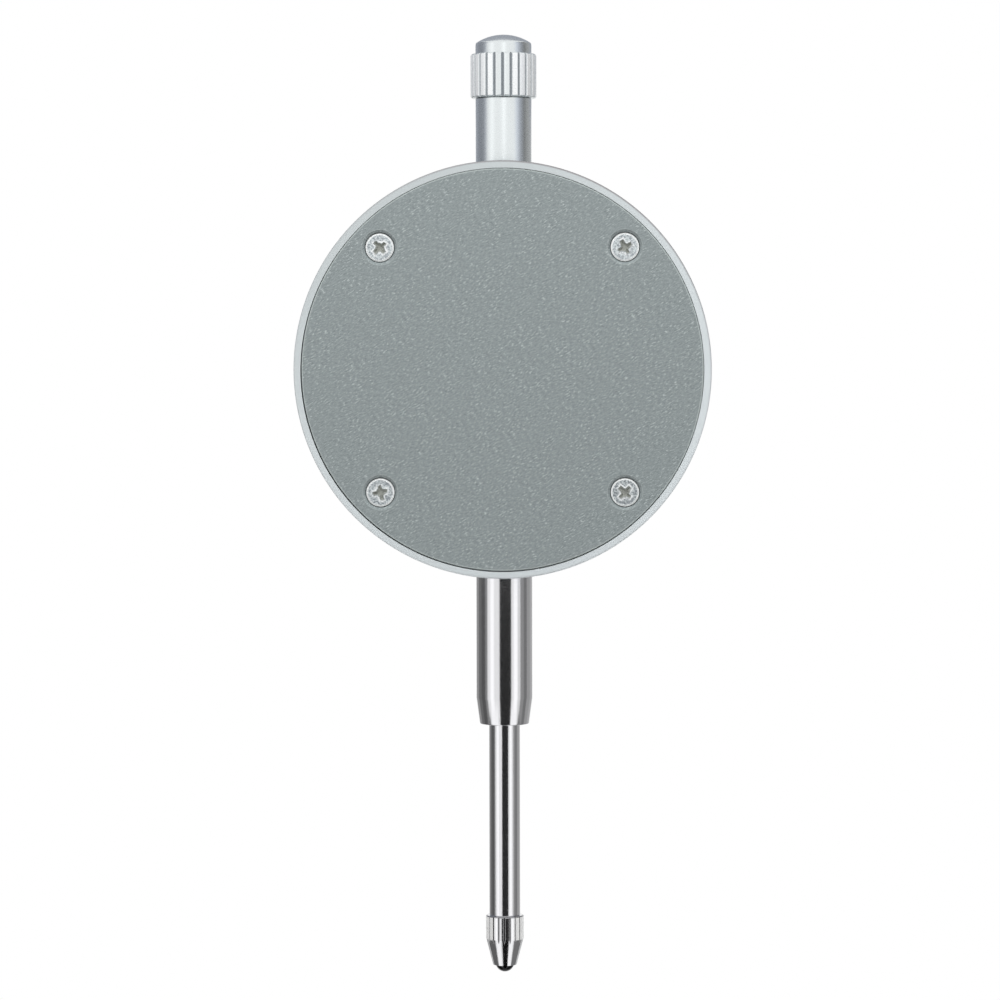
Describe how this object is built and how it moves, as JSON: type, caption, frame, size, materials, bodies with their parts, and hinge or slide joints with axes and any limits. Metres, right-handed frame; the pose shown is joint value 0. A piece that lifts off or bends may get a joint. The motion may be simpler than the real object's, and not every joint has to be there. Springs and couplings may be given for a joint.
{
  "type": "digital dial indicator",
  "caption": "Round-cased digital dial indicator with a plunger spindle, clamping stem, fluted dust cap, display, buttons, battery cover and flat back cover.",
  "frame": {"origin": "middle of the stem's clamping cylinder, on the spindle axis", "axes": "+Z along the spindle axis, from the contact point up to the dust cap; -Y out of the flat back cover, so the display faces +Y; +X to the right as seen from behind"},
  "size_m": [0.0584, 0.025, 0.1332],
  "materials": {
    "case_metal": "satin die-cast and plated case",
    "cover_paint": "grey-green paint with a fine orange-peel texture",
    "gasket_rubber": "matt black rubber",
    "screw_steel": "zinc-plated steel",
    "ground_steel": "ground and polished steel",
    "satin_aluminium": "satin anodised aluminium",
    "bronze": "sintered bronze",
    "bracket_brass": "machined brass",
    "spring_steel": "drawn spring wire",
    "hard_ball": "dark polished carbide",
    "board_green": "green board with bare gold pads",
    "scale_pattern": "gold pattern on a pale strip",
    "resin_black": "black resin",
    "lcd_glass": "grey-green liquid crystal display glass",
    "strip_rubber": "layered contact rubber",
    "frame_plastic": "black moulded frame",
    "window_clear": "clear acrylic",
    "plate_black": "dark textured face plate",
    "button_grey": "moulded grey buttons",
    "cell_steel": "nickel-plated button cell",
    "contact_gold": "gold-plated contact",
    "cover_plastic": "dark moulded plastic"
  },
  "bodies": {
    "case": {"main_housing": "case_metal", "back_cover": "cover_paint", "back_cover_gasket": "gasket_rubber", "back_cover_screws": "screw_steel", "stem": "ground_steel", "stem_bush": "bronze", "lower_bumper": "gasket_rubber", "upper_sleeve": "satin_aluminium", "sleeve_bush": "bronze", "return_spring": "spring_steel", "guide_rod": "ground_steel", "guide_rod_screws": "screw_steel", "main_board": "board_green", "board_screws": "screw_steel", "controller_chip": "resin_black", "clock_crystal": "cell_steel", "lcd_contact_strips": "strip_rubber", "lcd_glass": "lcd_glass", "lcd_frame": "frame_plastic", "display_window": "window_clear", "face_plate": "plate_black", "button_switches": "frame_plastic", "battery_cell": "cell_steel", "battery_leaf": "contact_gold", "battery_side_contact": "contact_gold", "port_socket": "frame_plastic", "port_pins": "contact_gold"},
    "spindle": {"spindle": "ground_steel", "contact_point": "ground_steel", "contact_ball": "hard_ball", "scale_bracket": "bracket_brass", "bracket_clamp_screw": "screw_steel", "grid_scale": "scale_pattern"},
    "units_button": {"units_button": "button_grey"},
    "power_button": {"power_button": "button_grey"},
    "zero_button": {"zero_button": "button_grey"},
    "cap_seal": {"dust_cap_seal": "gasket_rubber"},
    "dust_cap": {"dust_cap": "satin_aluminium"},
    "battery_seal": {"battery_cover_seal": "gasket_rubber"},
    "battery_cover": {"battery_cover": "cover_plastic"},
    "port_cover": {"port_cover": "cover_plastic"}
  },
  "joints": [
    {"name": "spindle_travel", "type": "slide", "parent": "case", "child": "spindle", "axis": [0, 0, 1], "range_m": [0, 0.0254], "stiffness_N_per_m": 24, "springref_m": -0.025, "deforming": ["return_spring"]},
    {"name": "units_button_press", "type": "slide", "parent": "case", "child": "units_button", "axis": [0, -1, 0], "range_m": [0, 0.0005], "stiffness_N_per_m": 3000, "springref_m": -0.00002},
    {"name": "power_button_press", "type": "slide", "parent": "case", "child": "power_button", "axis": [0, -1, 0], "range_m": [0, 0.0005], "stiffness_N_per_m": 3000, "springref_m": -0.00002},
    {"name": "zero_button_press", "type": "slide", "parent": "case", "child": "zero_button", "axis": [0, -1, 0], "range_m": [0, 0.0005], "stiffness_N_per_m": 3000, "springref_m": -0.00002},
    {"name": "dust_cap_lift", "type": "slide", "parent": "case", "child": "cap_seal", "axis": [0, 0, 1], "range_m": [0, 0.00225]},
    {"name": "dust_cap_unscrew", "type": "hinge", "parent": "cap_seal", "child": "dust_cap", "pos_m": [0, 0, 0.07625], "axis": [0, 0, 1], "range_deg": [0, 1080]},
    {"name": "battery_cover_lift", "type": "slide", "parent": "case", "child": "battery_seal", "axis": [0, 1, 0], "range_m": [0, 0.0015]},
    {"name": "battery_cover_unscrew", "type": "hinge", "parent": "battery_seal", "child": "battery_cover", "pos_m": [0, 0.0144, 0.02035], "axis": [0, 1, 0], "range_deg": [0, 720]},
    {"name": "port_cover_pull", "type": "slide", "parent": "case", "child": "port_cover", "axis": [1, 0, 0], "range_m": [0, 0.006]}
  ],
  "couplings": [
    {"joint": "dust_cap_unscrew", "follows": "dust_cap_lift", "rad_per_m": 8377.6},
    {"joint": "battery_cover_unscrew", "follows": "battery_cover_lift", "rad_per_m": 8377.6}
  ]
}
